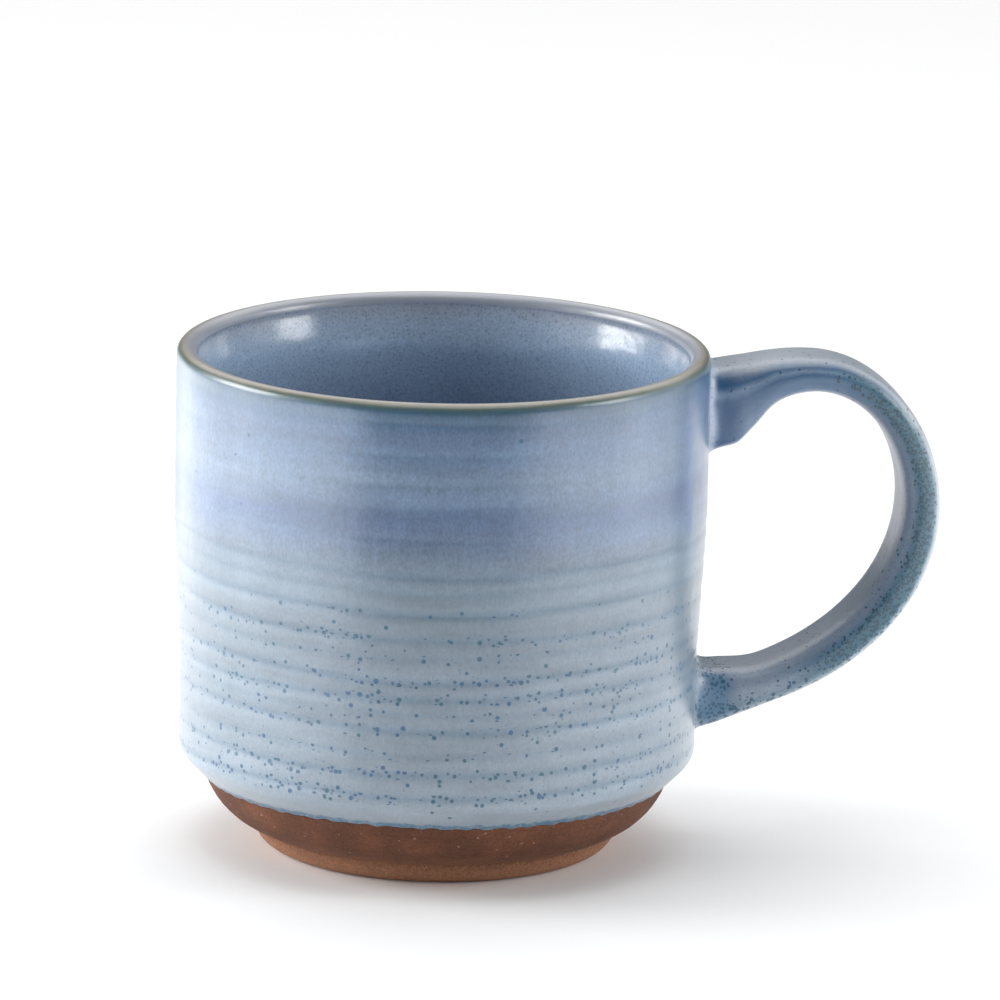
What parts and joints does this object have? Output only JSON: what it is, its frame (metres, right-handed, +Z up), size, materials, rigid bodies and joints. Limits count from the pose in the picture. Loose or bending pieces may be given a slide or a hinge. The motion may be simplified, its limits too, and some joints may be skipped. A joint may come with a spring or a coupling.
{
  "type": "ceramic mug",
  "caption": "Hand-thrown stoneware mug with a strap handle, a two-tone speckled glaze outside, a liner glaze inside and a bare clay foot.",
  "frame": {"origin": "centre of the foot ring's resting plane, on the cup's axis", "axes": "+Z up along the cup's axis; +X from the axis through the middle of the handle; +Y completes the right-handed frame"},
  "size_m": [0.1328, 0.092, 0.0878],
  "materials": {
    "bare_stoneware": "matte",
    "handle_stoneware": "matte",
    "luting_slip": "matte",
    "outer_glaze": "gloss",
    "liner_glaze": "gloss",
    "handle_glaze": "gloss"
  },
  "bodies": {
    "root": {"clay_body": "bare_stoneware", "clay_handle": "handle_stoneware", "upper_slip_joint": "luting_slip", "lower_slip_joint": "luting_slip", "outer_glaze": "outer_glaze", "liner_glaze": "liner_glaze", "handle_glaze": "handle_glaze"}
  },
  "joints": []
}
